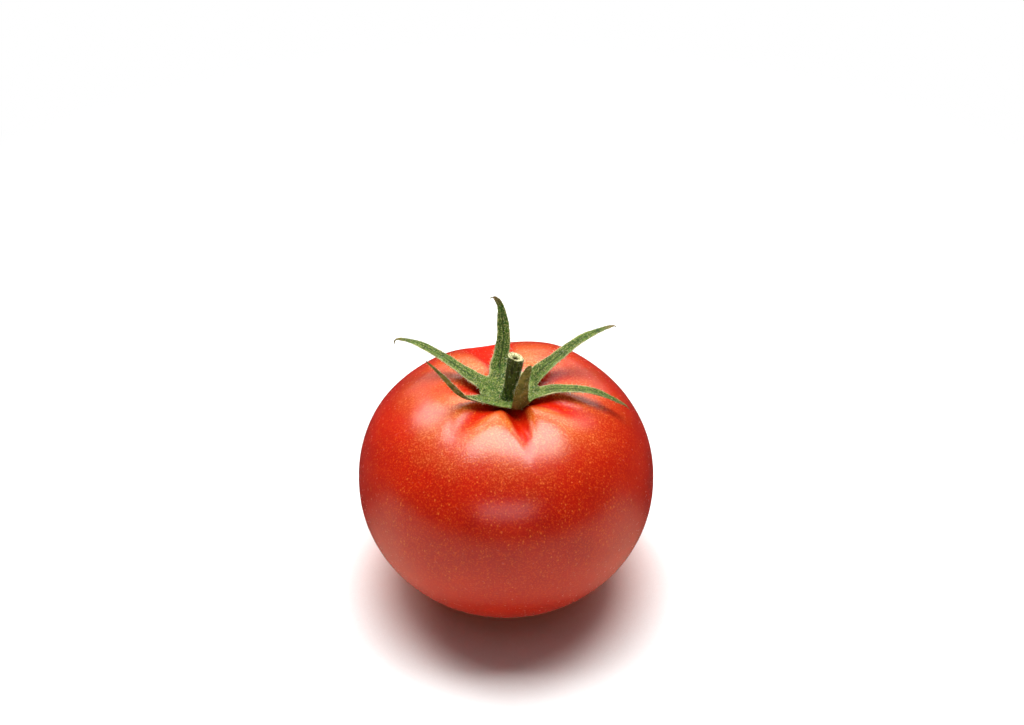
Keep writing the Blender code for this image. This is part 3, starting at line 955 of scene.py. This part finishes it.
def white_tabletop():
    """White laminate: even, matt and bright, so that the fruit's underside picks up its light.

    Further out it fades into the white backdrop. In the gloss it shows a painted reflection: a warm dim
    tone, and nearly black behind the object, as where a dark flag lies there. Close under the object it
    carries a painted shadow, darker and tinted red for the light that the red skin throws back.
    """
    material, tree, shader = new_material("white_laminate")
    place = add_node(tree, "TexCoord").outputs["Object"]
    rays = add_node(tree, "LightPath")
    gloss = (rays, "Is Glossy Ray")
    backwards = add_node(tree, "SeparateXYZ", {0: place}).outputs["Y"]
    # Painted reflection: in the gloss the tabletop turns nearly black behind the object, as a dark flag
    # would.
    painted_dark_reflection = add_node(
        tree,
        "MapRange",
        {0: backwards, 1: DARK_REFLECTION_BEGINS, 2: DARK_REFLECTION_ENDS, 3: 0.0, 4: 1.0},
        interpolation_type="SMOOTHSTEP",
    )
    painted_dark_reflection = add_node(tree, "Math", {0: painted_dark_reflection, 1: gloss}, operation="MULTIPLY")
    # Painted shadow: close under the object the tabletop darkens to a red-brown, which also stands for the
    # light that the red skin throws back.
    enclosed = add_node(tree, "AmbientOcclusion", {"Distance": PAINTED_SHADOW_REACH})
    painted_contact_shadow = add_node(tree, "MapRange", {0: (enclosed, "AO"), 1: 0.25, 2: 0.75, 3: 1.0, 4: 0.0})
    white = add_node(tree, "Mix", {0: painted_contact_shadow, 6: linear("#F7F6F5"), 7: linear("#C47C64")}, data_type="RGBA")
    # Painted reflection: in the gloss the tabletop shows a warm dim tone.
    white = add_node(tree, "Mix", {0: gloss, 6: white, 7: linear("#D6B79C")}, data_type="RGBA")
    white = add_node(tree, "Mix", {0: painted_dark_reflection, 6: white, 7: linear("#3A0E08")}, data_type="RGBA")
    set_shader(tree, shader, Base_Color=white, Roughness=0.6, Specular_IOR_Level=0.2)
    from_middle = add_node(tree, "VectorMath", {0: place}, operation="LENGTH").outputs["Value"]
    far = add_node(
        tree,
        "MapRange",
        {0: from_middle, 1: FADE_BEGINS, 2: FADE_ENDS, 3: 0.0, 4: 1.0},
        interpolation_type="SMOOTHSTEP",
    )
    seen_far = add_node(tree, "Math", {0: far, 1: (rays, "Is Camera Ray")}, operation="MULTIPLY")
    backdrop = add_node(tree, "Emission", {"Color": (1, 1, 1, 1), "Strength": BACKDROP_WHITE})
    output = tree.nodes["Material Output"]
    joined = add_node(tree, "MixShader", {0: seen_far, 1: shader, 2: backdrop})
    tree.links.new(joined.outputs[0], output.inputs["Surface"])
    return material


# ---- scene -----------------------------------------------------------------------------------------------

CAMERA_AIM = Vector((1.4, 17.0, 51.3)) * MM
CAMERA_DISTANCE = 0.658
CAMERA_ELEVATION = 39.3
CAMERA_LENS = 97.5
FLOOR_HALF = 3.0
BACKDROP_WHITE = 1.0
DIM_STUDIO = 0.05  # what light comes from all round, beside that of the lamps
LAMP_TARGET = Vector((0, 0, 0.04))


def build_tabletop(material):
    shape = bmesh.new()
    bmesh.ops.create_grid(shape, x_segments=1, y_segments=1, size=FLOOR_HALF)
    add_piece("tabletop", shape, material)


def build_camera():
    data = bpy.data.cameras.new("camera")
    data.lens = CAMERA_LENS
    data.clip_start = 0.01
    camera = bpy.data.objects.new("camera", data)
    bpy.context.scene.collection.objects.link(camera)
    rise = math.radians(CAMERA_ELEVATION)
    camera.location = CAMERA_AIM + Vector((0, -math.cos(rise), math.sin(rise))) * CAMERA_DISTANCE
    camera.rotation_euler = (math.pi / 2 - rise, 0, 0)
    bpy.context.scene.camera = camera


def add_softbox(name, place, size, power):
    data = bpy.data.lights.new(name, "AREA")
    data.shape = "RECTANGLE"
    data.size, data.size_y = size
    data.energy = power
    light = bpy.data.objects.new(name, data)
    light.location = place
    light.rotation_euler = (LAMP_TARGET - Vector(place)).to_track_quat("-Z", "Y").to_euler()
    bpy.context.scene.collection.objects.link(light)


def build_lighting():
    add_softbox("overhead_strip", (0, 0.115, 0.66), (0.64, 0.32), 7.2)
    add_softbox("left_softbox", (-0.5, 0.57, 0.62), (0.32, 0.32), 2.2)
    add_softbox("rear_softbox", (0.12, 0.62, 0.56), (0.8, 0.36), 2.4)
    add_softbox("rear_card", (0, 1.1, 0.34), (1.4, 0.5), 1.8)
    add_softbox("front_card", (0, -1.0, 0.66), (0.8, 0.36), 2.0)
    world = bpy.data.worlds.new("studio")
    bpy.context.scene.world = world
    world.use_nodes = True
    tree = world.node_tree
    rays = add_node(tree, "LightPath")
    strength = add_node(tree, "MapRange", {0: (rays, "Is Camera Ray"), 3: DIM_STUDIO, 4: BACKDROP_WHITE})
    tree.links.new(strength.outputs[0], tree.nodes["Background"].inputs["Strength"])
    tree.nodes["Background"].inputs["Color"].default_value = (1, 1, 1, 1)


skin = build_skin(ripe_tomato_skin())
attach(skin, "root")
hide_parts("fruit")

calyx = build_calyx(hairy_sepal())
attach(calyx, "root")
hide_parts("calyx_base", *[sepal.node for sepal in SEPALS])

stem = build_stem(cut_stem())
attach(stem, "root")
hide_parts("stem")

hairs = build_hairs(calyx, stem, plant_hair())
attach(hairs, "root")

build_tabletop(white_tabletop())
build_camera()
build_lighting()
bpy.context.scene.view_settings.view_transform = "Standard"
